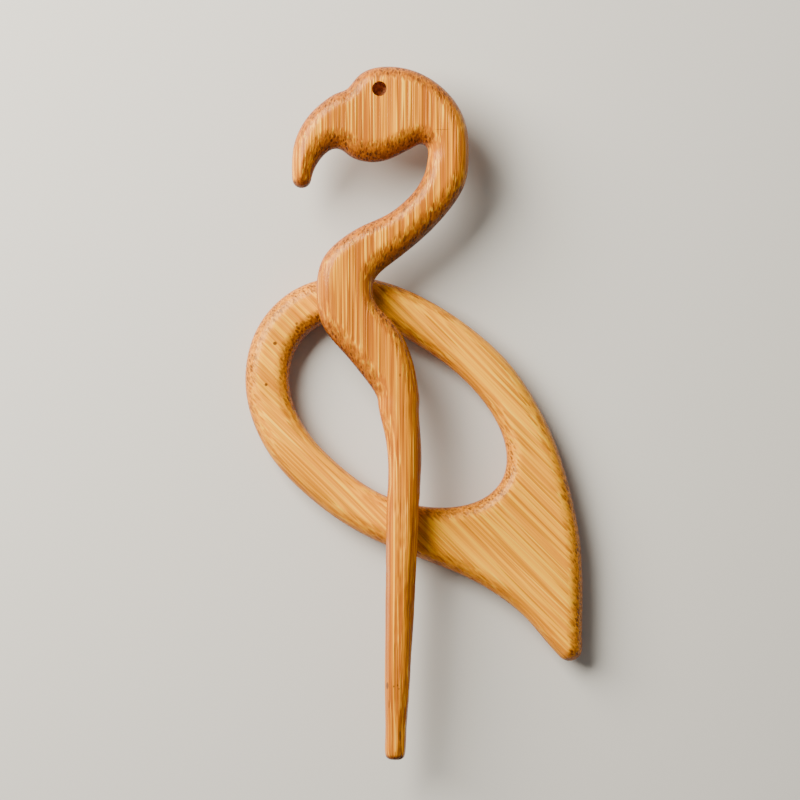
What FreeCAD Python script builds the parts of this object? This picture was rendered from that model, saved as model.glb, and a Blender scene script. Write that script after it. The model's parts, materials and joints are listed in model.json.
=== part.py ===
"""Two-piece wooden shawl pin in the shape of a wading bird, also used as a cable needle.

The bird's body is a flat ring with a tail. Its head, neck and leg are one slim stick.
The ring lies flat and frames gathered knitting. The stick goes through the gathered
stitches and lies across the ring, with its neck on the ring's top bar and its leg on the
lower bar. Both pieces are cut from flat board, and their edges are rounded over.

Units are millimetres. X runs across the pin, Y along the leg towards the head, and Z up
out of the surface that the ring lies on. The outlines are drawn about the middle of the
ring's window, and the finished pieces are then moved so that the origin is under the
middle of the whole pin.
"""
import FreeCAD, Part
import math
import os

Vec = FreeCAD.Vector
MIDDLE = Vec(0, 0, 0)
UP = Vec(0, 0, 1)

# Board and edges
RING_THICKNESS = 6.0
STICK_THICKNESS = 6.0
LAY_GAP = 0.2              # clearance between the ring's top and the stick's underside
RING_EDGE_ROUND = 2.6      # round-over along the ring's edges
TAIL_TIP_ROUND = 1.7       # the same, where it thins out round the tail's tip
STICK_EDGE_ROUND = 2.4     # round-over along the neck and the head
BEAK_TIP_ROUND = 1.5       # the same, where it thins out round the beak's tip
BOARD_SHARE = 0.45         # the most that a round-over takes of its board's thickness
TIP_SHARE = 0.92           # the most that it takes of a tip's own radius

# Ring: an egg-shaped window in a bar of even width, which spreads into a tail
WINDOW_WIDTH = 37.9
WINDOW_HEIGHT = 32.6
BAR_WIDTH = 7.7
TAIL_OUT = 10.95           # from the window's right-hand side to the middle of the tail's tip
TAIL_DROP = 24.6           # from the window's lower side to the middle of the tail's tip
TAIL_TIP_RADIUS = 2.25

# Stick: leg, neck and head
LEG_REACH = 43.7           # from the window's lower side to the leg's tip
LEG_LEAN = 1.9             # degrees, with the tip to the left
LEG_DIAMETER = 5.85
BEND_WIDTH = 6.35
TIP_DIAMETER = 3.4
TIP_ROUND = 0.9
CROSSING_WIDTH = 10.0
NECK_WIDTH = 7.1
HEAD_LENGTH = 30.7         # back of the neck to the front of the beak
HEAD_DEPTH = 16.6          # crown to chin
BEAK_TIP_RADIUS = 1.65
THROAT_RADIUS = 1.3
EYE_DIAMETER = 2.6
EYE_DEPTH = 3.0

# The window's outline, anticlockwise from the top, in shares of half its width and height
WINDOW_SHAPE = [
    (-0.43, 1.00), (-0.74, 0.93), (-0.93, 0.71), (-1.00, 0.43), (-0.96, 0.10), (-0.81, -0.23),
    (-0.56, -0.53), (-0.23, -0.81), (0.12, -0.965), (0.47, -1.00), (0.79, -0.90), (0.96, -0.70),
    (1.00, -0.45), (0.93, -0.14), (0.76, 0.17), (0.47, 0.505), (0.12, 0.78), (-0.16, 0.93),
]
LOWER_ROOT = 7             # the window point beside the tail's lower root
UPPER_ROOT = 13            # the window point beside the tail's upper root

# The tail's two edges, as (share of the way, sideways bulge), both in shares of their chord
TAIL_LOWER_EDGE = [(0.17, 0.017), (0.34, 0.049), (0.52, 0.078), (0.68, 0.079), (0.81, 0.059), (0.94, 0.017)]
TAIL_UPPER_EDGE = [(0.23, -0.042), (0.46, -0.070), (0.63, -0.067), (0.80, -0.050)]
TAIL_LOWER_ANGLE = 222.0   # where the tip's arc meets the lower edge, in degrees
TAIL_UPPER_ANGLE = 2.0     # where it meets the upper edge

# The neck's middle line from the shoulder up, from the point where it crosses the top bar.
# The third value is the width: 0 at the neck's own width, 1 at the crossing's.
NECK_LINE = [
    (9.4, -17.4, 0.07), (7.25, -11.3, 0.72), (4.0, -6.4, 1.0), (0.8, -2.5, 1.02), (0.0, 1.6, 0.92), (0.6, 5.0, 0.90),
    (2.8, 7.5, 0.62), (5.8, 9.6, 0.36), (9.0, 11.5, 0.06), (12.7, 14.5, -0.10),
    (15.6, 17.8, -0.10), (17.5, 21.3, 0.03),
]
NECK_TOP = (18.05, 25.0)
CROSSING_SHARE = -0.4887   # how far left of the window's middle the neck crosses, of half its width
CROSSING_RISE = 0.464      # how far up the bar, as a share of its width, the neck's middle line crosses it
SHOULDER_LEFT_HEADING = (-0.38, 1.0)
SHOULDER_RIGHT_HEADING = (-0.13, 1.0)

UP_THE_LEG = Vec(math.sin(math.radians(LEG_LEAN)), math.cos(math.radians(LEG_LEAN)), 0)

# The leg's start, from the middle of the neck's lower end, and its run down to the tip
LEG_BEND = (0.56, -5.38)
LEG_ROOT = (1.02, -11.38)
LEG_STATIONS = [0, 0.12, 0.33, 0.6, 0.82, 0.93]
LEG_TAPER = 1.7            # how late the leg thins: 1 would be a straight taper
TIP_ANGLES = [0, 25, 50, 70, 85]
LEG_CORNER = 0.92          # the corner of the leg's section, of half its diameter

# The head's outline in shares of its length, back to front, and of its depth, chin to crown
CROWN_SHAPE = [
    (0.017, 0.39), (0.062, 0.585), (0.136, 0.755), (0.232, 0.89), (0.345, 0.975), (0.458, 1.00),
    (0.559, 0.974), (0.627, 0.901), (0.664, 0.818), (0.697, 0.757), (0.745, 0.725), (0.81, 0.653),
    (0.887, 0.529), (0.949, 0.372), (0.986, 0.209), (1.00, 0.042),
]
BEAK_ROOT = 11             # the crown point where the beak starts
BEAK_TIP = (0.946, -0.173)
CHIN_SHAPE = [
    (0.876, -0.079), (0.836, 0.042), (0.793, 0.115), (0.752, 0.141), (0.718, 0.122), (0.680, 0.068),
    (0.616, 0.016), (0.531, 0.00), (0.435, 0.042), (0.362, 0.110),
]
EYE_PLACE = (0.506, 0.759)
BEAK_ARC_START = 183.0     # where the beak tip's arc leaves the upper edge, in degrees
BEAK_ARC_END = 350.0
THROAT_RISE = 0.5
THROAT_ARC_END = 125.0
CHIN_BELOW_NECK_TOP = 1.2


def polar(centre, radius, angle):
    """The point at that radius and angle, in degrees, from centre."""
    turn = math.radians(angle)
    return centre + Vec(radius * math.cos(turn), radius * math.sin(turn), 0)


def tangent(angle):
    """The unit direction in which an anticlockwise arc runs at that angle, in degrees."""
    return polar(MIDDLE, 1, angle + 90)


def unit(direction):
    return direction / direction.Length


def beside(start, end, share, bulge):
    """The point at a share of the way from start to end, moved left by bulge times the chord."""
    chord = end - start
    return start + chord * share + Vec(-chord.y, chord.x, 0) * bulge


def spline(points, first=None, last=None):
    """A smooth curve through points, closed on itself unless its end directions are given."""
    curve = Part.BSplineCurve()
    if first is None:
        curve.interpolate(points, PeriodicFlag=True)
    else:
        curve.interpolate(points, InitialTangent=unit(first), FinalTangent=unit(last), Scale=False)
    return curve


def arc(centre, radius, start, end):
    """The arc from one angle, in degrees, anticlockwise to another."""
    middle = polar(centre, radius, (start + end) / 2)
    return Part.Arc(polar(centre, radius, start), middle, polar(centre, radius, end))


def joined(curves):
    """One closed wire of curves that follow each other end to end."""
    return Part.Wire([curve if isinstance(curve, Part.Edge) else curve.toShape() for curve in curves])


def split(curve, points):
    """The edges that a curve makes when it is divided at points."""
    stops = [curve.FirstParameter] + [curve.parameter(point) for point in points] + [curve.LastParameter]
    return [curve.toShape(low, high) for low, high in zip(stops, stops[1:])]


def round_over(solid, radius, tip, tip_radius, tip_round, keep_sharp=()):
    """Round the flat faces' edges by radius, running evenly down to tip_round at the tip's arc."""
    radius = min(radius, BOARD_SHARE * solid.BoundBox.ZLength)
    tip_round = min(tip_round, TIP_SHARE * tip_radius)

    def radius_at(point):
        return tip_round if Vec(point.x, point.y, 0).sub(tip).Length < 2 * tip_radius else radius

    levels = (solid.BoundBox.ZMin, solid.BoundBox.ZMax)
    chosen = []
    for number, edge in enumerate(solid.Edges, 1):
        box = edge.BoundBox
        flat = box.ZLength < 1e-6 and any(abs(box.ZMin - level) < 1e-6 for level in levels)
        sharp = any(edge.CenterOfMass.sub(point).Length < 1e-3 for point in keep_sharp)
        if flat and not sharp:
            chosen.append((number, radius_at(edge.valueAt(edge.FirstParameter)),
                           radius_at(edge.valueAt(edge.LastParameter))))
    document = FreeCAD.newDocument()
    blank = document.addObject("Part::Feature", "Blank")
    blank.Shape = solid
    rounded = document.addObject("Part::Fillet", "Rounded")
    rounded.Base = blank
    rounded.Edges = chosen
    document.recompute()
    shape = rounded.Shape.Solids[0].copy()
    FreeCAD.closeDocument(document.Name)
    return shape


def window_curve():
    return spline([Vec(x * WINDOW_WIDTH / 2, y * WINDOW_HEIGHT / 2, 0) for x, y in WINDOW_SHAPE])


def make_ring():
    """The bird's body: a bar round the window, and the tail."""
    window = window_curve()

    def bar_outside(index):
        x, y = WINDOW_SHAPE[index]
        place = Vec(x * WINDOW_WIDTH / 2, y * WINDOW_HEIGHT / 2, 0)
        along = window.tangent(window.parameter(place))[0]
        return place + Vec(along.y, -along.x, 0) * BAR_WIDTH

    tip = Vec(WINDOW_WIDTH / 2 + TAIL_OUT, -WINDOW_HEIGHT / 2 - TAIL_DROP, 0)
    tip_lower = polar(tip, TAIL_TIP_RADIUS, TAIL_LOWER_ANGLE)
    tip_upper = polar(tip, TAIL_TIP_RADIUS, TAIL_UPPER_ANGLE)
    upper_root = bar_outside(UPPER_ROOT)
    lower_root = bar_outside(LOWER_ROOT)
    upper_edge = [beside(tip_upper, upper_root, *place) for place in TAIL_UPPER_EDGE]
    lower_edge = [beside(lower_root, tip_lower, *place) for place in TAIL_LOWER_EDGE]
    indices = list(range(UPPER_ROOT + 1, len(WINDOW_SHAPE))) + list(range(LOWER_ROOT))
    points = [tip_upper, *upper_edge, upper_root, *map(bar_outside, indices), lower_root, *lower_edge, tip_lower]
    outside = spline(points, tangent(TAIL_UPPER_ANGLE), tangent(TAIL_LOWER_ANGLE))
    stretches = split(outside, [upper_edge[1], lower_edge[-3]])
    tip_arc = arc(tip, TAIL_TIP_RADIUS, TAIL_LOWER_ANGLE, TAIL_UPPER_ANGLE + 360)
    blank = Part.Face(joined([*stretches, tip_arc])).cut(Part.Face(joined([window])))
    return round_over(blank.extrude(UP * RING_THICKNESS), RING_EDGE_ROUND, tip, TAIL_TIP_RADIUS, TAIL_TIP_ROUND)


def crossing_point():
    """Where the neck's middle line crosses the ring's top bar."""
    return Vec(CROSSING_SHARE * WINDOW_WIDTH / 2, WINDOW_HEIGHT / 2 + CROSSING_RISE * BAR_WIDTH, 0)


def neck_sides():
    """The neck's left and right edges, each a list of points from the shoulder to the throat."""
    crossing = crossing_point()
    middle = [crossing + Vec(x, y, 0) for x, y, _ in NECK_LINE] + [crossing + Vec(*NECK_TOP, 0)]
    widths = [NECK_WIDTH + share * (CROSSING_WIDTH - NECK_WIDTH) for _, _, share in NECK_LINE] + [NECK_WIDTH]
    line = spline(middle, middle[1] - middle[0], UP_THE_LEG)
    left, right = [], []
    for place, width in zip(middle, widths):
        along = line.tangent(line.parameter(place))[0] if place != middle[0] else UP_THE_LEG
        left.append(place + Vec(-along.y, along.x, 0) * (width / 2))
        right.append(place + Vec(along.y, -along.x, 0) * (width / 2))
    return left, right


def head_point(share_forward, share_up):
    """A point of the head, from the back of the neck and the level of the chin."""
    neck_top = crossing_point() + Vec(*NECK_TOP, 0)
    back = neck_top.x + NECK_WIDTH / 2
    chin = neck_top.y - CHIN_BELOW_NECK_TOP
    return Vec(back - share_forward * HEAD_LENGTH, chin + share_up * HEAD_DEPTH, 0)


def make_neck_and_head():
    """The flat part of the stick, down to the shoulder, with its edges rounded."""
    left, right = neck_sides()
    crown = [head_point(*place) for place in CROWN_SHAPE]
    chin = [head_point(*place) for place in CHIN_SHAPE]
    tip = head_point(*BEAK_TIP)
    throat = left[-1] + Vec(-THROAT_RADIUS, THROAT_RISE, 0)
    beak_arc = arc(tip, BEAK_TIP_RADIUS, BEAK_ARC_START, BEAK_ARC_END)
    throat_arc = arc(throat, THROAT_RADIUS, 0, THROAT_ARC_END)
    outer = spline(
        [*right, *crown, polar(tip, BEAK_TIP_RADIUS, BEAK_ARC_START)],
        Vec(*SHOULDER_RIGHT_HEADING, 0), tangent(BEAK_ARC_START),
    )
    under = spline(
        [polar(tip, BEAK_TIP_RADIUS, BEAK_ARC_END), *chin, polar(throat, THROAT_RADIUS, THROAT_ARC_END)],
        tangent(BEAK_ARC_END), tangent(THROAT_ARC_END) * -1,
    )
    inner = spline(
        [polar(throat, THROAT_RADIUS, 0), *reversed(left)],
        Vec(0, -1, 0), Vec(*SHOULDER_LEFT_HEADING, 0) * -1,
    )
    end = Part.LineSegment(left[0], right[0])
    outline = joined([*split(outer, [crown[BEAK_ROOT]]), beak_arc, *split(under, [chin[2]]), throat_arc, inner, end])
    blank = Part.Face(outline).extrude(UP * STICK_THICKNESS)

    base = (left[0] + right[0]) / 2
    ends = [base, base + UP * STICK_THICKNESS]
    return round_over(blank, STICK_EDGE_ROUND, tip, BEAK_TIP_RADIUS, BEAK_TIP_ROUND, ends)


def leg_section(centre, width, thickness, corner):
    """A rounded rectangle square to the leg, with that centre."""
    across = UP_THE_LEG.cross(UP)
    reach, rise = width / 2 - corner, thickness / 2 - corner
    curves = []
    for quarter in range(4):
        turn = math.radians(90 * quarter)
        out = across * math.cos(turn) + UP * math.sin(turn)
        side = across * -math.sin(turn) + UP * math.cos(turn)
        along, aside = (reach, rise) if quarter % 2 == 0 else (rise, reach)
        hub = centre + out * along + side * aside
        curves.append(Part.LineSegment(hub + out * corner - side * 2 * aside, hub + out * corner))
        bend = hub + (out + side) * (corner / math.sqrt(2))
        curves.append(Part.Arc(hub + out * corner, bend, hub + side * corner))
    return joined(curves)


def make_leg(end_face):
    """The round leg, which grows out of the neck's end face and tapers to a blunt tip."""
    shoulder = end_face.CenterOfMass
    bend = shoulder + Vec(*LEG_BEND, 0)
    root = shoulder + Vec(*LEG_ROOT, 0)
    length = (root.y + WINDOW_HEIGHT / 2 + LEG_REACH) / UP_THE_LEG.y
    corner = min(STICK_EDGE_ROUND, BOARD_SHARE * STICK_THICKNESS)
    sections = [end_face.OuterWire, leg_section(bend, BEND_WIDTH, STICK_THICKNESS, corner)]
    thickest = min(LEG_DIAMETER, STICK_THICKNESS)

    def taper(share):
        return TIP_DIAMETER + (1 - share ** LEG_TAPER) * (thickest - TIP_DIAMETER)

    stations = [(share, taper(share)) for share in LEG_STATIONS]
    for angle in TIP_ANGLES:
        turn = math.radians(angle)
        share = 1 - TIP_ROUND * (1 - math.sin(turn)) / length
        stations.append((share, taper(share) - 2 * TIP_ROUND * (1 - math.cos(turn))))
    for share, diameter in stations:
        place = root - UP_THE_LEG * length * share
        sections.append(leg_section(place, diameter, diameter, LEG_CORNER * diameter / 2))
    return Part.makeLoft(sections, True, False)


def make_stick():
    """The bird's head, neck and leg in one piece, with its eye drilled part of the way in."""
    flat = make_neck_and_head()
    end = min(flat.Faces, key=lambda face: abs(face.normalAt(0, 0).dot(UP_THE_LEG) + 1))
    eye = head_point(*EYE_PLACE) + UP * (STICK_THICKNESS - EYE_DEPTH)
    hole = Part.makeCylinder(EYE_DIAMETER / 2, 2 * EYE_DEPTH, eye)
    stick = flat.fuse(make_leg(end)).removeSplitter().cut(hole).Solids[0]
    return stick.translated(UP * (RING_THICKNESS + LAY_GAP))


if __name__ == "__main__":
    nodes = {"body_ring": make_ring(), "stick": make_stick()}
    box = Part.makeCompound(list(nodes.values())).optimalBoundingBox(False)
    to_origin = Vec(-box.Center.x, -box.Center.y, -box.ZMin)
    os.makedirs("parts", exist_ok=True)
    for name, shape in nodes.items():
        shape.translated(to_origin).exportStep(f"parts/{name}.step")
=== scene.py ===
"""Wooden shawl pin in the shape of a wading bird: a body ring and a stick, cut from bamboo board.

Each piece starts as a copy of its CAD node. The copy is welded, given an even skin, and worked
the way the real one was: its edges are sanded soft, the leg is whittled, and the eye is drilled.
The bamboo is one solid pattern of fibre bundles, so it shows as lines along the grain and as
dots where an edge cuts across it. Its colour also holds painted shade on the sides and on the
edges that face the foot, and painted glints in some cream fibres.

Sizes are in millimetres here, except the stage's. They become metres, which the scene uses, where
they are multiplied by MM or passed through metres().
"""
import json
import math

import bmesh
import bpy
import numpy as np
from bpy.props import FloatProperty, FloatVectorProperty, IntProperty, PointerProperty
from mathutils import Matrix, Vector, noise
from mathutils.kdtree import KDTree


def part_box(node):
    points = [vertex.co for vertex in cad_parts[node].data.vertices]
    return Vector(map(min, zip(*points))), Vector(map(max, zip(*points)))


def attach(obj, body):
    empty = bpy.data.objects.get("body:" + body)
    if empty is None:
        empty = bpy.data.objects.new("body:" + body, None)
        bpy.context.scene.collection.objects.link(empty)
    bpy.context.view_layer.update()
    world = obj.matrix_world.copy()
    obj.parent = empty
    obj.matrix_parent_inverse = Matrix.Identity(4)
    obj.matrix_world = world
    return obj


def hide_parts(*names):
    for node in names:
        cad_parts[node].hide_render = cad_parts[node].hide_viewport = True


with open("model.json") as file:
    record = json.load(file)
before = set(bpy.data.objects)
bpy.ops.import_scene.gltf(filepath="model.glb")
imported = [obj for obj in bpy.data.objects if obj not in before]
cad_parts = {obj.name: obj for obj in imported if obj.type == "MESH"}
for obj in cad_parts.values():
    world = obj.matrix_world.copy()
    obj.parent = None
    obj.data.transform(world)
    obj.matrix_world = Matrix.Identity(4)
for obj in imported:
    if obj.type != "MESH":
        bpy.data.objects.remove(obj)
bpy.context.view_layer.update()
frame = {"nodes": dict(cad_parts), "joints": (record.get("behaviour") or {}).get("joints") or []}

bl_info = {
    "name": "Bamboo Shawl Pin",
    "version": (1, 0, 0),
    "blender": (4, 5, 0),
    "location": "View3D > Sidebar > Shawl Pin",
    "description": "Makes a bamboo shawl pin, with its ring and its stick, round a fixed frame",
    "category": "Object",
}

MM = 0.001
RING_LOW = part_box("body_ring")[0]
STICK_LOW, STICK_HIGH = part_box("stick")
STICK_MIDDLE_HEIGHT = (STICK_LOW.z + STICK_HIGH.z) / 2
LEG_UP = Vector(frame["joints"][0]["axis"]).normalized()

EYE_FROM_LEFT, EYE_FROM_TOP = 15.22 * MM, 4.0 * MM
EYE = Vector((STICK_LOW.x + EYE_FROM_LEFT, STICK_HIGH.y - EYE_FROM_TOP, STICK_HIGH.z))
WELD = 0.002 * MM

# Sanding: the rim is the upright middle of an edge, and shoulders are measured from it.
RIM_BAND = 0.35
RIM_UPRIGHT = 0.4
RIM_BLEND = 2.4
RIM_SHARE = 0.12
SHARPNESS = 2.0
FOOT_SHARPNESS_LOSS = 0.4
SOFTENING_PASSES = 4
WAVE_DEPTH = 0.05
SANDING_PULL = 0.5

# Knife work on the leg: how far up it goes, and how often a flat turns, deepens and chatters.
WHITTLED_LENGTH = 52
WHITTLED_FADE = 10
LEG_END = 2
KNIFE_STATIONS = 160
TURN_REACH = 26
DEPTH_REACH = 15
CHATTER_REACH = 2.1
TURN_AMOUNT = 0.45
STEADY_CUT, UNEVEN_CUT, CHATTER_CUT = 0.55, 0.9, 0.3
STEEPEST_LEAN = 0.5
LEAST_RADIUS = 0.01

# The eye: the hole that is plugged first, the drill's shape, and what is scorched afterwards.
EYE_PLUG = 1.05
EYE_CHAMFER = 0.1
EYE_POINT = 0.5
BIT_SEGMENTS = 64
BIT_TIP_SHARE = 0.02
BIT_FLARE, BIT_RISE = 3, 2
SCORCH_MARGIN = 1.02
SCORCH_BELOW_MIDDLE = 1
CRISP_ANGLE = math.radians(40)

# Sizes of the wood's patterns, across and along the grain.
SWAY_SIZE = (30, 60)
SWAY_AMOUNT = 0.9
STREAK_LENGTH = 80
FIBRE_SIZE = (0.3, 22)
GLINT_SIZE = (0.2, 5)
CLOUD_SIZE = (7, 40)
SPECK_SIZE = (0.35, 0.9)
SCORCH_SIZE = (0.5, 0.5)
BUNDLE_STRETCH = 60
GRAIN_RELIEF = 0.12
SCORCH_RELIEF = 0.05

# Where each pattern starts and is full, as values of the pattern itself. Where there are four
# values, the last two are what it becomes there.
BUNDLE_EDGE = (0.46, 0.32)
BUNDLE_KIND = (0.1, 0.8, 0.5, 1.0)
STREAK_GROUND = (0.40, 0.52)
STREAK_PALE = (0.55, 0.64)
FIBRE_PALE = (0.57, 0.66)
FIBRE_DARK = (0.46, 0.36)
# The cream fibres are partly the wood's pale fibres, partly painted glints.
FIBRE_CREAM_AND_GLINT = (0.63, 0.71)
SPECK_PALE = (0.3, 0.7)
CLOUD_SHADE = (0.3, 0.7, 0.9, 1.06)
GLINT_RANGE = (0.35, 0.65)
SCORCH_RANGE = (0.35, 0.65)
MARK_EDGE = (1.0, 0.6)

# Where a surface counts as end grain, as a side or as facing the foot, by the way that it faces,
# and between which heights the leg's tone comes in. Sides and edges that face the foot are
# darkened as painted shade.
END_GRAIN = (0.08, 0.5)
SIDE_PAINTED_SHADE = (0.9, 0.1)
FOOTWARD_PAINTED_SHADE = (-0.1, -0.75)
LEG_TONE_HEIGHTS = (6, -10)

# How much of each layer shows.
BUNDLE_END_AMOUNT = 0.9
END_GRAIN_AMOUNT = 0.92
# How much painted shade the upright sides get.
SIDE_PAINTED_SHADE_AMOUNT = 0.8
BUNDLE_RELIEF = 0.6
SCORCH_DARKEST = 0.45
SCORCH_BUMP = 0.4

# Gloss: how much rougher and smoother than the setting the fibres are, the wax over them, and the
# two matt surfaces.
DULL_FIBRE, BRIGHT_FIBRE = 0.1, -0.08
WAX, WAX_ROUGHNESS, WOOD_SPECULAR = 0.08, 0.18, 0.3
SCORCH_ROUGHNESS = 0.75
FLOOR_ROUGHNESS = 0.9

# The stage, in metres: where the lights and the camera stand, how wide the lights are, and how far
# the camera sees and the floor reaches. Only the camera's sensor is in millimetres.
KEY_PLACE, KEY_SIZE, KEY_COLOUR = (-0.27, 0.21, 0.26), 0.34, (1, 0.93, 0.80)
FILL_PLACE, FILL_SIZE, FILL_COLOUR = (0.28, -0.10, 0.30), 0.3, (1, 0.95, 0.88)
SKY_COLOUR = (1, 0.93, 0.83, 1)
CAMERA_ASIDE = (-2.40 * MM, 2.3 * MM)
CAMERA_SENSOR = 36
CAMERA_CLIP = (0.01, 10)
FLOOR_HALF = 1.5
FLOOR_GAP = 0.05 * MM

# Small blemishes of the wood, each with its centre, its reach and how dark it is.
RING_MARKS = [
    ((-24.16, 12.16), (0.42, 0.38), 0.9),
    ((-25.71, 4.98), (0.34, 0.34), 0.9),
    ((-20.40, 15.60), (0.28, 0.28), 0.7),
]
STICK_MARKS = [
    ((-4.6, -47.2), (0.26, 0.75), 0.8),
    ((-3.5, -47.3), (0.16, 0.2), 0.8),
    ((-2.8, -47.1), (0.16, 0.22), 0.8),
    ((-2.6, -47.7), (0.2, 0.18), 0.7),
    ((-4.3, -50.4), (0.2, 0.9), 0.45),
    ((-2.4, -55.9), (0.3, 1.1), 0.5),
    ((-2.2, -58.4), (0.2, 0.9), 0.35),
    ((4.9, 49.1), (1.5, 0.09), 0.5),
    ((-2.4, 6.6), (0.22, 0.35), 0.6),
]


def metres(value):
    return value * MM


# Meshes


def add_object(name, mesh):
    """Put a mesh in the scene as an object at the origin."""
    piece = bpy.data.objects.new(name, mesh)
    bpy.context.scene.collection.objects.link(piece)
    return piece


def welded_copy(node, name):
    """A copy of a CAD node whose loose triangles are merged into one closed skin."""
    form = bmesh.new()
    form.from_mesh(frame["nodes"][node].data)
    bmesh.ops.remove_doubles(form, verts=form.verts, dist=WELD)
    mesh = bpy.data.meshes.new(name)
    form.to_mesh(mesh)
    form.free()
    return add_object(name, mesh)


def bake_modifiers(piece):
    """Replace a piece's mesh by what its modifiers make of it."""
    bpy.context.view_layer.update()
    rough = piece.data
    shaped = piece.evaluated_get(bpy.context.evaluated_depsgraph_get())
    piece.data = bpy.data.meshes.new_from_object(shaped)
    piece.data.name = piece.name
    piece.modifiers.clear()
    bpy.data.meshes.remove(rough)


def even_skin(piece, size):
    """Give a piece a closed skin of small faces that are all alike."""
    remesh = piece.modifiers.new("Even skin", "REMESH")
    remesh.mode = "VOXEL"
    remesh.voxel_size = metres(size)
    bake_modifiers(piece)


def sand(piece, passes):
    """Soften a piece's edges."""
    soften = piece.modifiers.new("Sanding", "SMOOTH")
    soften.factor = SANDING_PULL
    soften.iterations = passes
    bake_modifiers(piece)


def skin_arrays(piece):
    """A piece's vertices and their outward directions, a row each."""
    vertices = piece.data.vertices
    places = np.empty(len(vertices) * 3)
    vertices.foreach_get("co", places)
    outward = np.empty(len(vertices) * 3)
    piece.data.vertex_normals.foreach_get("vector", outward)
    return places.reshape(-1, 3), outward.reshape(-1, 3)


def move_skin(piece, places):
    piece.data.vertices.foreach_set("co", places.ravel())
    piece.data.update()


def hand_work(piece, depth, reach, seed):
    """Leave the slight waves of hand sanding in a surface."""
    places, outward = skin_arrays(piece)
    shift = Vector((seed, 2 * seed, 3 * seed))
    waves = np.array([noise.noise(Vector(place) + shift) for place in places / metres(reach)])
    move_skin(piece, places + outward * waves[:, None] * metres(depth))


def slope_shoulders(piece, narrow, wide, fade_from, fade_to):
    """Round the board's shoulders, narrow on edges that face the crown and wide on those that
    face the foot. The rounding fades in over the stretch along Y between the two fades.
    """
    places, outward = skin_arrays(piece)
    middle = (places[:, 2].min() + places[:, 2].max()) / 2
    half = places[:, 2].max() - middle
    rise = np.abs(places[:, 2] - middle)
    rim = np.nonzero((rise < metres(RIM_BAND)) & (np.abs(outward[:, 2]) < RIM_UPRIGHT))[0]
    tree = KDTree(len(rim))
    for number, row in enumerate(rim):
        tree.insert((places[row, 0], places[row, 1], 0), number)
    tree.balance()
    rim_down = np.clip(-outward[rim, 1], 0, 1)
    near = [
        [hit[1] for hit in tree.find_range((x, y, 0), metres(RIM_BLEND))] for x, y, _ in places[rim]
    ]
    rim_down = np.array([rim_down[rows].mean() for rows in near])
    found = [tree.find((x, y, 0)) for x, y, _ in places]
    distance = np.array([hit[2] for hit in found])
    faces_down = rim_down[[hit[1] for hit in found]]
    width = metres(narrow) + metres(wide - narrow) * faces_down
    share = 1 - np.clip(distance / width, 0, 1)
    sharpness = SHARPNESS - FOOT_SHARPNESS_LOSS * faces_down
    height = half * (RIM_SHARE + (1 - RIM_SHARE) * (1 - share ** sharpness) ** (1 / sharpness))
    weight = np.clip((places[:, 1] - metres(fade_from)) / metres(fade_to - fade_from), 0, 1)
    height = rise + (np.minimum(rise, height) - rise) * weight
    places[:, 2] = middle + np.sign(places[:, 2] - middle) * height
    move_skin(piece, places)


def plug_hole(piece, centre, radius, bottom):
    """Take out a drilled hole, and close the surface over it."""
    form = bmesh.new()
    form.from_mesh(piece.data)
    inside = []
    for face in form.faces:
        place = face.calc_center_median()
        if place.z > bottom - WELD and (place - centre).to_2d().length < radius:
            inside.append(face)
    bmesh.ops.delete(form, geom=inside, context="FACES")
    rim = [edge for edge in form.edges if edge.is_boundary]
    bmesh.ops.holes_fill(form, edges=rim, sides=0)
    bmesh.ops.triangulate(form, faces=[face for face in form.faces if len(face.verts) > 4])
    form.to_mesh(piece.data)
    form.free()


def drill_bit(centre, radius, depth, chamfer, point):
    """The shape that a drill takes out: a shaft with a shallow point, wider at the mouth."""
    form = bmesh.new()
    rings = [
        (BIT_TIP_SHARE * radius, -depth - point),
        (radius, -depth),
        (radius, -chamfer),
        (radius + BIT_FLARE * chamfer, BIT_RISE * chamfer),
    ]
    start = bmesh.ops.create_circle(
        form, cap_ends=True, segments=BIT_SEGMENTS, radius=rings[0][0]
    )
    bmesh.ops.translate(form, verts=start["verts"], vec=centre + Vector((0, 0, rings[0][1])))
    loop = list(form.edges)
    for (last, _), (width, height) in zip(rings, rings[1:]):
        made = bmesh.ops.extrude_edge_only(form, edges=loop)["geom"]
        verts = [part for part in made if isinstance(part, bmesh.types.BMVert)]
        loop = [part for part in made if isinstance(part, bmesh.types.BMEdge)]
        level = verts[0].co.z
        bmesh.ops.translate(form, verts=verts, vec=(0, 0, centre.z + height - level))
        spread = Matrix.Diagonal((width / last, width / last, 1))
        around = Matrix.Translation(-centre)
        bmesh.ops.transform(form, matrix=spread.to_4x4(), space=around, verts=verts)
    bmesh.ops.contextual_create(form, geom=loop)
    bmesh.ops.recalc_face_normals(form, faces=form.faces)
    mesh = bpy.data.meshes.new("drill_bit")
    form.to_mesh(mesh)
    form.free()
    return add_object("drill_bit", mesh)


def cut_away(piece, tool):
    """Cut a tool's shape out of a piece, and throw the tool away."""
    cut = piece.modifiers.new("Cut", "BOOLEAN")
    cut.operation = "DIFFERENCE"
    cut.solver = "EXACT"
    cut.object = tool
    bake_modifiers(piece)
    shape = tool.data
    bpy.data.objects.remove(tool)
    bpy.data.meshes.remove(shape)


def wander(stations, reach, seed):
    """A smooth random line through the stations, roughly from -0.5 to 0.5."""
    return np.array(
        [noise.noise(Vector((seed, station / reach, 0.5 * seed))) for station in stations]
    )


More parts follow.
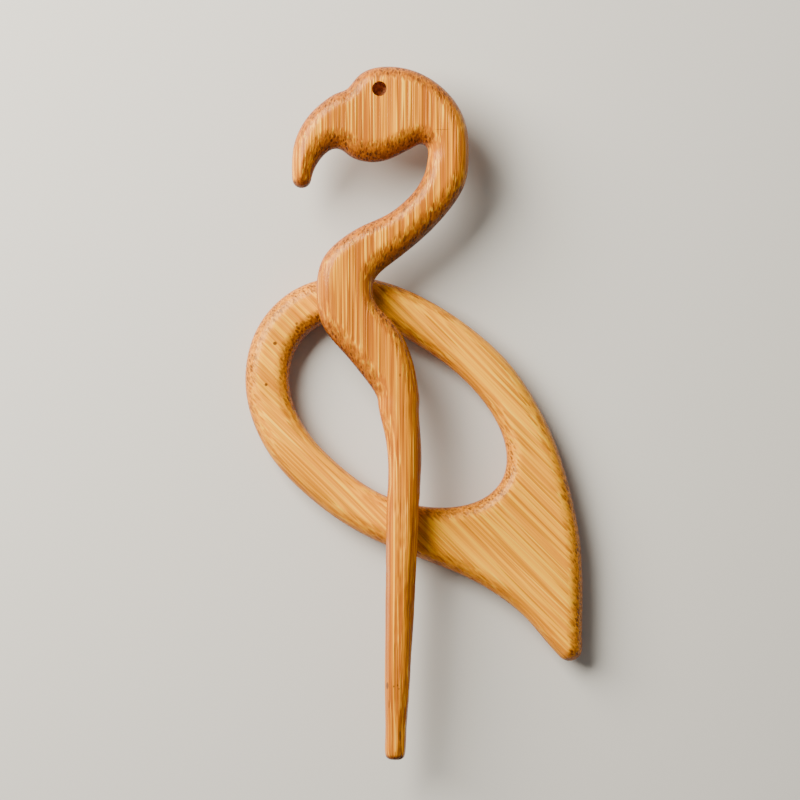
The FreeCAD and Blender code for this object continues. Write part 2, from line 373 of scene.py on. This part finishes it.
def whittle(piece, planes, deepest, seed):
    """Cut long shallow flats into the round leg, as a knife does."""
    places, _ = skin_arrays(piece)
    foot = places[places[:, 1] < STICK_LOW.y + metres(LEG_END)].mean(axis=0)
    foot[2] = STICK_MIDDLE_HEIGHT
    axis = np.array(LEG_UP)
    up = np.array((0.0, 0.0, 1.0))
    arms = places - foot
    along = arms @ axis
    out = arms - np.outer(along, axis)
    radius = np.linalg.norm(out, axis=1)
    angle = np.arctan2(out @ up, out @ np.cross(axis, up))
    whittled = metres(WHITTLED_LENGTH)
    stations = np.linspace(-metres(LEG_END), whittled, KNIFE_STATIONS)
    nearest = radius.copy()
    for plane in range(planes):
        knife = seed + plane
        turn = np.interp(along, stations, wander(stations, metres(TURN_REACH), knife))
        depth = np.interp(along, stations, wander(stations, metres(DEPTH_REACH), knife + 0.37))
        chatter = np.interp(along, stations, wander(stations, metres(CHATTER_REACH), knife + 0.71))
        facing = 2 * math.pi * (plane + TURN_AMOUNT * turn) / planes
        lean = np.maximum(np.cos(angle - facing), STEEPEST_LEAN)
        cut = deepest * (STEADY_CUT + UNEVEN_CUT * depth + CHATTER_CUT * chatter)
        nearest = np.minimum(nearest, radius * (1 - cut) / lean)
    fade = np.clip((whittled - along) / metres(WHITTLED_FADE), 0, 1)
    share = 1 - (1 - nearest / np.maximum(radius, metres(LEAST_RADIUS))) * fade
    places -= out * (1 - share)[:, None]
    move_skin(piece, places)


def finish_piece(piece, materials, body, node):
    """Shade a piece and say what it stands for."""
    for material in materials:
        piece.data.materials.append(material)
    piece.data.shade_smooth()
    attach(piece, body)
    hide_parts(node)


# Materials


def add_node(tree, kind, inputs=None, **settings):
    """Add a node, set it, and link or set its inputs."""
    node = tree.nodes.new(kind)
    for name, value in settings.items():
        setattr(node, name, value)
    for name, value in (inputs or {}).items():
        if isinstance(value, bpy.types.NodeSocket):
            tree.links.new(value, node.inputs[name])
        else:
            node.inputs[name].default_value = value
    return node


def blank_material(name):
    material = bpy.data.materials.new(name)
    material.use_nodes = True
    shader = material.node_tree.nodes["Principled BSDF"]
    return material, material.node_tree, shader


def stretch(tree, value, low, high, to_low=0.0, to_high=1.0):
    """Map a value smoothly from one range to another."""
    node = add_node(
        tree, "ShaderNodeMapRange", {0: value, 1: low, 2: high, 3: to_low, 4: to_high},
        interpolation_type="SMOOTHSTEP",
    )
    return node.outputs[0]


def calculate(tree, operation, first, second=0.0):
    return add_node(tree, "ShaderNodeMath", {0: first, 1: second}, operation=operation).outputs[0]


def mix_colours(tree, factor, first, second, blend="MIX"):
    node = tree.nodes.new("ShaderNodeMix")
    node.data_type = "RGBA"
    node.blend_type = blend
    for number, value in ((0, factor), (6, first), (7, second)):
        if isinstance(value, bpy.types.NodeSocket):
            tree.links.new(value, node.inputs[number])
        else:
            node.inputs[number].default_value = value
    return node.outputs[2]


def grained(tree, place, across, along, kind="ShaderNodeTexNoise", **inputs):
    """A texture whose cells are across wide and along long, in the grain's own directions."""
    scaled = add_node(
        tree, "ShaderNodeVectorMath",
        {0: place, 1: (1 / across, 1 / along, 1 / across)}, operation="MULTIPLY",
    )
    return add_node(tree, kind, {"Vector": scaled.outputs[0], "Scale": 1.0, **inputs})


def mark(tree, place, centre, reach):
    """One inside a small oval spot and nothing outside it; centre and reach are in mm."""
    arm = add_node(tree, "ShaderNodeVectorMath", {0: place, 1: (*centre, 0)}, operation="SUBTRACT")
    scaled = add_node(
        tree, "ShaderNodeVectorMath",
        {0: arm.outputs[0], 1: (1 / reach[0], 1 / reach[1], 0)}, operation="MULTIPLY",
    )
    length = add_node(tree, "ShaderNodeVectorMath", {0: scaled.outputs[0]}, operation="LENGTH")
    return stretch(tree, length.outputs["Value"], *MARK_EDGE)


def bamboo(name, look, marks=(), leg_tone=None):
    """Bamboo whose grain runs at an angle from the Y axis, in the XY plane."""
    material, tree, shader = blank_material(name)
    angle = look.grain_angle
    coordinates = add_node(tree, "ShaderNodeTexCoord")
    straight = add_node(
        tree, "ShaderNodeMapping", {"Vector": coordinates.outputs["Object"], "Scale": (1 / MM,) * 3}
    ).outputs[0]
    place = add_node(
        tree, "ShaderNodeMapping", {"Vector": straight, "Rotation": (0, 0, -angle)}
    ).outputs[0]
    sway = grained(tree, place, *SWAY_SIZE, Detail=1.0).outputs["Color"]
    centred = add_node(tree, "ShaderNodeVectorMath", {0: sway, 1: (0.5,) * 3}, operation="SUBTRACT")
    swayed = add_node(
        tree, "ShaderNodeVectorMath",
        {0: centred.outputs[0], 1: (SWAY_AMOUNT, 0, SWAY_AMOUNT), 2: place},
        operation="MULTIPLY_ADD",
    ).outputs[0]

    pitch = look.bundle_pitch
    bundles = grained(
        tree, swayed, pitch, BUNDLE_STRETCH * pitch, "ShaderNodeTexVoronoi", Randomness=0.95
    )
    bundle = stretch(tree, bundles.outputs["Distance"], *BUNDLE_EDGE)
    kind = add_node(tree, "ShaderNodeSeparateColor", {0: bundles.outputs["Color"]}).outputs
    strong = calculate(tree, "MULTIPLY", bundle, stretch(tree, kind[0], *BUNDLE_KIND))
    streak = grained(
        tree, swayed, look.streak_width, STREAK_LENGTH, Detail=1.5, Roughness=0.6
    ).outputs["Fac"]
    fibre = grained(tree, swayed, *FIBRE_SIZE, Detail=1.0).outputs["Fac"]
    glint = grained(tree, swayed, *GLINT_SIZE, Detail=1.0).outputs["Fac"]
    cloud = grained(tree, swayed, *CLOUD_SIZE, Detail=1.0).outputs["Fac"]
    speck = grained(tree, swayed, *SPECK_SIZE, Detail=1.0).outputs["Fac"]

    grain_line = (-math.sin(angle), math.cos(angle), 0)
    facing = add_node(
        tree, "ShaderNodeVectorMath", {0: coordinates.outputs["Normal"], 1: grain_line},
        operation="DOT_PRODUCT",
    ).outputs["Value"]
    end_grain = stretch(tree, calculate(tree, "ABSOLUTE", facing), *END_GRAIN)
    normal = add_node(tree, "ShaderNodeSeparateXYZ", {0: coordinates.outputs["Normal"]}).outputs
    side = stretch(tree, normal[2], *SIDE_PAINTED_SHADE)

    # Along the grain: streaks, then fine fibres, then bundle lines. The cream fibres are partly
    # painted glints.
    contrast = look.contrast
    dark, pale = (*look.dark, 1), (*look.pale, 1)
    colour = mix_colours(tree, stretch(tree, streak, *STREAK_GROUND), dark, (*look.ground, 1))
    colour = mix_colours(tree, stretch(tree, streak, *STREAK_PALE, 0, contrast), colour, pale)
    colour = mix_colours(tree, stretch(tree, fibre, *FIBRE_PALE, 0, contrast), colour, pale)
    colour = mix_colours(tree, stretch(tree, fibre, *FIBRE_DARK, 0, contrast), colour, dark)
    # Cream fine fibres: partly the wood's pale fibres, partly painted glints.
    cream_fibre_and_glint = stretch(tree, fibre, *FIBRE_CREAM_AND_GLINT, 0, contrast)
    colour = mix_colours(tree, cream_fibre_and_glint, colour, (*look.cream_fibre_and_glint, 1))
    line = calculate(tree, "MULTIPLY", strong, look.line_strength)
    colour = mix_colours(tree, line, colour, (*look.line, 1))

    # Across the grain: dots in open cut wood, and the tones of the edges, which are painted shade.
    cut_dark, cut_pale = (*look.cut_dark, 1), (*look.cut_pale, 1)
    cut = mix_colours(tree, stretch(tree, speck, *SPECK_PALE), cut_dark, cut_pale)
    dots = calculate(tree, "MULTIPLY", strong, BUNDLE_END_AMOUNT)
    cut = mix_colours(tree, dots, cut, (*look.bundle, 1))
    at_end = calculate(tree, "MULTIPLY", end_grain, END_GRAIN_AMOUNT)
    colour = mix_colours(tree, at_end, colour, cut)
    # Painted shade: upright sides are darkened against the faces.
    painted_side_shade = calculate(tree, "MULTIPLY", side, SIDE_PAINTED_SHADE_AMOUNT)
    colour = mix_colours(tree, painted_side_shade, colour, (*look.edge_painted_shade, 1), "MULTIPLY")
    # Painted shade: edges that face the foot, away from the key light, are darkened.
    footward_painted_shade = stretch(tree, normal[1], *FOOTWARD_PAINTED_SHADE)
    colour = mix_colours(tree, footward_painted_shade, colour, (*look.foot_painted_shade, 1), "MULTIPLY")
    shade = stretch(tree, cloud, *CLOUD_SHADE)
    grey = add_node(tree, "ShaderNodeCombineColor", {0: shade, 1: shade, 2: shade}).outputs[0]
    colour = mix_colours(tree, 1.0, colour, grey, "MULTIPLY")
    if leg_tone:
        height = add_node(tree, "ShaderNodeSeparateXYZ", {0: straight}).outputs[1]
        leg = stretch(tree, height, *LEG_TONE_HEIGHTS)
        colour = mix_colours(tree, leg, colour, (*leg_tone, 1), "MULTIPLY")
    for centre, reach, strength in marks:
        spot = calculate(tree, "MULTIPLY", mark(tree, straight, centre, reach), strength)
        colour = mix_colours(tree, spot, colour, (*look.blemish, 1))
    tree.links.new(colour, shader.inputs["Base Color"])

    rough = stretch(
        tree, glint, *GLINT_RANGE, look.roughness + DULL_FIBRE, look.roughness + BRIGHT_FIBRE
    )
    tree.links.new(rough, shader.inputs["Roughness"])
    relief = calculate(tree, "SUBTRACT", fibre, calculate(tree, "MULTIPLY", strong, BUNDLE_RELIEF))
    bump = add_node(
        tree, "ShaderNodeBump",
        {"Height": relief, "Strength": look.relief, "Distance": metres(GRAIN_RELIEF)},
    )
    tree.links.new(bump.outputs[0], shader.inputs["Normal"])
    shader.inputs["Coat Weight"].default_value = WAX
    shader.inputs["Coat Roughness"].default_value = WAX_ROUGHNESS
    shader.inputs["Specular IOR Level"].default_value = WOOD_SPECULAR
    shader.inputs["Specular Tint"].default_value = (*look.shine, 1)
    return material


def burnt_wood(name, colour):
    """The darkened wall and bottom of a drilled hole."""
    material, tree, shader = blank_material(name)
    coordinates = add_node(tree, "ShaderNodeTexCoord")
    place = add_node(
        tree, "ShaderNodeMapping", {"Vector": coordinates.outputs["Object"], "Scale": (1 / MM,) * 3}
    ).outputs[0]
    scorch = grained(tree, place, *SCORCH_SIZE, Detail=3.0).outputs["Fac"]
    dark = (*[part * SCORCH_DARKEST for part in colour], 1)
    tone = mix_colours(tree, stretch(tree, scorch, *SCORCH_RANGE), dark, (*colour, 1))
    tree.links.new(tone, shader.inputs["Base Color"])
    bump = add_node(
        tree, "ShaderNodeBump",
        {"Height": scorch, "Strength": SCORCH_BUMP, "Distance": metres(SCORCH_RELIEF)},
    )
    tree.links.new(bump.outputs[0], shader.inputs["Normal"])
    shader.inputs["Roughness"].default_value = SCORCH_ROUGHNESS
    return material


# Settings


def colour_property(name, description, default):
    return FloatVectorProperty(
        name=name, description=description, subtype="COLOR", min=0, max=1, default=default
    )


def share_property(name, description, default, largest=1):
    return FloatProperty(
        name=name, description=description, subtype="FACTOR", min=0, max=largest, default=default
    )


def size_property(name, description, default, smallest):
    return FloatProperty(
        name=name, description=description + ", in mm", min=smallest, default=default
    )


def grain_property(degrees):
    return FloatProperty(
        name="Grain angle", description="Turn of the grain from the pin's length",
        subtype="ANGLE", default=math.radians(degrees),
    )


def passes_property(default):
    return IntProperty(
        name="Sanding", description="How far the edges are softened", min=0, default=default
    )


class BambooLook:
    """What the bamboo of either piece has."""
    bundle_pitch: size_property("Bundle pitch", "Distance between fibre bundles", 0.52, 0.2)
    streak_width: size_property("Streak width", "Width of the pale and dark streaks", 0.6, 0.1)
    contrast: share_property("Contrast", "How much the streaks show", 0.8)
    line_strength: share_property(
        "Line strength", "How much the fibre bundles show along the grain", 0.5
    )
    roughness: share_property("Roughness", "How matt the waxed surface is", 0.28)
    relief: share_property("Relief", "How deep the grain feels", 0.8)
    ground: colour_property("Ground", "Colour of most of the wood", (0.64, 0.222, 0.001))
    pale: colour_property("Pale fibre", "Colour of the palest lines", (0.94, 0.40, 0.002))
    # Partly the wood's pale fibres, partly painted glints.
    cream_fibre_and_glint: colour_property("Cream fibre", "Colour of a few fine lines", (1.0, 0.60, 0.05))
    dark: colour_property("Dark fibre", "Colour of the darkest lines", (0.43, 0.12, 0.006))
    line: colour_property(
        "Bundle lines", "Colour of the fibre bundles along the grain", (0.30, 0.078, 0.008)
    )
    cut_pale: colour_property(
        "Cut wood", "Pale colour where the grain is cut across", (0.54, 0.165, 0.008)
    )
    cut_dark: colour_property(
        "Cut wood, dark", "Dark colour where the grain is cut across", (0.27, 0.072, 0.01)
    )
    bundle: colour_property("Bundle ends", "Colour of the dots on cut wood", (0.085, 0.024, 0.01))
    shine: colour_property("Shine", "Colour of the wood's own shine", (1.0, 0.72, 0.38))
    blemish: colour_property("Blemishes", "Colour of small dark marks", (0.085, 0.024, 0.01))
    # Painted shade on the upright sides.
    edge_painted_shade: colour_property(
        "Edge tone", "Tone of the edges against the faces", (0.84, 0.68, 0.85)
    )
    # Painted shade on the edges that face the foot.
    foot_painted_shade: colour_property(
        "Foot tone", "Tone of the edges that face the foot", (0.50, 0.42, 0.55)
    )


class RingSettings(BambooLook, bpy.types.PropertyGroup):
    grain_angle: grain_property(45)
    contrast: share_property("Contrast", "How much the streaks show", 0.5)
    line_strength: share_property(
        "Line strength", "How much the fibre bundles show along the grain", 0.75
    )
    ground: colour_property("Ground", "Colour of most of the wood", (0.95, 0.40, 0.002))
    pale: colour_property("Pale fibre", "Colour of the palest lines", (1.0, 0.54, 0.005))
    dark: colour_property("Dark fibre", "Colour of the darkest lines", (0.72, 0.26, 0.004))
    line: colour_property(
        "Bundle lines", "Colour of the fibre bundles along the grain", (0.50, 0.155, 0.0)
    )
    cut_pale: colour_property(
        "Cut wood", "Pale colour where the grain is cut across", (0.76, 0.275, 0.004)
    )
    cut_dark: colour_property(
        "Cut wood, dark", "Dark colour where the grain is cut across", (0.38, 0.115, 0.006)
    )
    bundle: colour_property("Bundle ends", "Colour of the dots on cut wood", (0.14, 0.04, 0.01))
    # Painted shade on the edges that face the foot.
    foot_painted_shade: colour_property(
        "Foot tone", "Tone of the edges that face the foot", (0.72, 0.64, 0.7)
    )
    skin: size_property("Skin", "Size of the skin's faces", 0.235, 0.1)
    passes: passes_property(12)
    shoulder: size_property("Shoulder", "Width of the rounded edge", 2.9, 1)


class StickSettings(BambooLook, bpy.types.PropertyGroup):
    grain_angle: grain_property(0)
    skin: size_property("Skin", "Size of the skin's faces", 0.22, 0.1)
    passes: passes_property(12)
    shoulder: size_property("Shoulder", "Width of the rounded edge at the crown side", 2.8, 1)
    low_shoulder: size_property("Low shoulder", "Width of the rounded edge under the chin", 4.2, 1)
    eye_radius: size_property("Eye radius", "Radius of the drilled eye", 1.25, 0.2)
    eye_depth: size_property("Eye depth", "Depth of the drilled eye", 2.6, 0.2)
    flats: IntProperty(
        name="Flats", description="Number of knife flats round the leg", min=3, default=7
    )
    flat_depth: share_property(
        "Flat depth", "Share of the leg's radius that a knife flat takes", 0.1, largest=0.2
    )
    eye_colour: colour_property("Eye", "Colour of the scorched hole", (0.58, 0.20, 0.06))
    leg_tone: colour_property("Leg tone", "Tone of the leg against the head", (0.94, 0.90, 1.0))


class StageSettings(bpy.types.PropertyGroup):
    floor: colour_property("Floor", "Colour of the floor", (0.60, 0.60, 0.59))
    eye_height: FloatProperty(
        name="Camera height", description="Camera above the stick's middle",
        subtype="DISTANCE", unit="LENGTH", default=1.0,
    )
    view_width: FloatProperty(
        name="View width", description="What the picture is wide at the stick's height",
        subtype="DISTANCE", unit="LENGTH", default=0.1388,
    )
    key_power: FloatProperty(
        name="Key light", description="Power of the key light in watts", default=7.4
    )
    fill_power: FloatProperty(
        name="Fill light", description="Power of the fill light in watts", default=0.08
    )
    sky: FloatProperty(name="Sky", description="Strength of the light all round", default=0.17)


# Operators


class SHAWLPIN_OT_stage(bpy.types.Operator):
    """Make the floor, the lights and the camera"""
    bl_idname = "shawlpin.stage"
    bl_label = "Stage"

    def execute(self, context):
        settings = context.scene.shawlpin_stage
        self.add_camera(context, settings)
        self.add_floor(settings)
        middle = Vector((0, 0, STICK_MIDDLE_HEIGHT))
        self.add_light("key_light", KEY_PLACE, middle, settings.key_power, KEY_SIZE, KEY_COLOUR)
        self.add_light(
            "fill_light", FILL_PLACE, middle, settings.fill_power, FILL_SIZE, FILL_COLOUR
        )
        world = bpy.data.worlds.new("soft_sky")
        world.use_nodes = True
        sky = world.node_tree.nodes["Background"]
        sky.inputs["Color"].default_value = SKY_COLOUR
        sky.inputs["Strength"].default_value = settings.sky
        context.scene.world = world
        return {"FINISHED"}

    def add_camera(self, context, settings):
        data = bpy.data.cameras.new("camera")
        data.sensor_width = CAMERA_SENSOR
        data.lens = data.sensor_width * settings.eye_height / settings.view_width
        data.clip_start, data.clip_end = CAMERA_CLIP
        camera = bpy.data.objects.new("camera", data)
        camera.location = (*CAMERA_ASIDE, STICK_MIDDLE_HEIGHT + settings.eye_height)
        context.scene.collection.objects.link(camera)
        context.scene.camera = camera

    def add_floor(self, settings):
        form = bmesh.new()
        bmesh.ops.create_grid(form, x_segments=1, y_segments=1, size=FLOOR_HALF)
        bmesh.ops.translate(form, verts=form.verts, vec=(0, 0, RING_LOW.z - FLOOR_GAP))
        mesh = bpy.data.meshes.new("floor")
        form.to_mesh(mesh)
        form.free()
        material, _, shader = blank_material("floor_paper")
        shader.inputs["Base Color"].default_value = (*settings.floor, 1)
        shader.inputs["Roughness"].default_value = FLOOR_ROUGHNESS
        mesh.materials.append(material)
        add_object("floor", mesh)

    def add_light(self, name, place, target, power, size, colour):
        data = bpy.data.lights.new(name, "AREA")
        data.energy, data.size, data.color = power, size, colour
        light = bpy.data.objects.new(name, data)
        light.location = place
        light.rotation_euler = (target - Vector(place)).to_track_quat("-Z", "Y").to_euler()
        bpy.context.scene.collection.objects.link(light)


class SHAWLPIN_OT_body_ring(bpy.types.Operator):
    """Make the flat ring with a tail that is the bird's body"""
    bl_idname = "shawlpin.body_ring"
    bl_label = "Body ring"

    def execute(self, context):
        settings = context.scene.shawlpin_ring
        piece = welded_copy("body_ring", "ring")
        even_skin(piece, settings.skin)
        sand(piece, settings.passes)
        width = settings.shoulder
        slope_shoulders(piece, narrow=width, wide=width, fade_from=-80, fade_to=-70)
        sand(piece, SOFTENING_PASSES)
        hand_work(piece, WAVE_DEPTH, reach=9, seed=3.1)
        wood = bamboo("ring_bamboo", settings, RING_MARKS)
        finish_piece(piece, [wood], "body_ring", "body_ring")
        return {"FINISHED"}


class SHAWLPIN_OT_stick(bpy.types.Operator):
    """Make the stick that is the bird's head, neck and leg, with its drilled eye"""
    bl_idname = "shawlpin.stick"
    bl_label = "Stick"

    def execute(self, context):
        settings = context.scene.shawlpin_stick
        piece = welded_copy("stick", "bird_stick")
        radius = metres(settings.eye_radius)
        plug_hole(piece, EYE, radius * EYE_PLUG, STICK_MIDDLE_HEIGHT)
        even_skin(piece, settings.skin)
        sand(piece, settings.passes)
        slope_shoulders(
            piece, narrow=settings.shoulder, wide=settings.low_shoulder, fade_from=-10, fade_to=-3
        )
        sand(piece, SOFTENING_PASSES)
        hand_work(piece, WAVE_DEPTH, reach=8, seed=7.7)
        whittle(piece, settings.flats, settings.flat_depth, seed=5.3)
        depth = metres(settings.eye_depth)
        bit = drill_bit(EYE, radius, depth, metres(EYE_CHAMFER), metres(EYE_POINT))
        cut_away(piece, bit)
        wood = bamboo("stick_bamboo", settings, STICK_MARKS, settings.leg_tone)
        materials = [wood, burnt_wood("eye_scorch", settings.eye_colour)]
        finish_piece(piece, materials, "stick", "stick")
        self.scorch_eye(piece, radius)
        return {"FINISHED"}

    def scorch_eye(self, piece, radius):
        """Shade the drilled hole, and keep the edge of its mouth crisp."""
        for face in piece.data.polygons:
            aside = (face.center - EYE).to_2d().length
            height = face.center.z - STICK_MIDDLE_HEIGHT
            if aside < radius * SCORCH_MARGIN and height > -metres(SCORCH_BELOW_MIDDLE):
                face.material_index = 1
        piece.data.set_sharp_from_angle(angle=CRISP_ANGLE)


class SHAWLPIN_PT_panel(bpy.types.Panel):
    """Make the shawl pin"""
    bl_label = "Shawl Pin"
    bl_idname = "SHAWLPIN_PT_panel"
    bl_space_type = "VIEW_3D"
    bl_region_type = "UI"
    bl_category = "Shawl Pin"

    def draw(self, context):
        for title, group, maker in (
            ("Stage", context.scene.shawlpin_stage, SHAWLPIN_OT_stage),
            ("Body ring", context.scene.shawlpin_ring, SHAWLPIN_OT_body_ring),
            ("Stick", context.scene.shawlpin_stick, SHAWLPIN_OT_stick),
        ):
            box = self.layout.box()
            box.label(text=title)
            for name in group.bl_rna.properties.keys():
                if name not in {"rna_type", "name"}:
                    box.prop(group, name)
            box.operator(maker.bl_idname)


SETTINGS = {
    "shawlpin_stage": StageSettings,
    "shawlpin_ring": RingSettings,
    "shawlpin_stick": StickSettings,
}
CLASSES = [
    *SETTINGS.values(),
    SHAWLPIN_OT_stage,
    SHAWLPIN_OT_body_ring,
    SHAWLPIN_OT_stick,
    SHAWLPIN_PT_panel,
]


def register():
    for made in CLASSES:
        bpy.utils.register_class(made)
    for name, group in SETTINGS.items():
        setattr(bpy.types.Scene, name, PointerProperty(type=group))


def unregister():
    for name in SETTINGS:
        delattr(bpy.types.Scene, name)
    for made in reversed(CLASSES):
        bpy.utils.unregister_class(made)


def main():
    register()
    bpy.ops.shawlpin.stage()
    bpy.ops.shawlpin.body_ring()
    bpy.ops.shawlpin.stick()


if __name__ == "__main__":
    main()
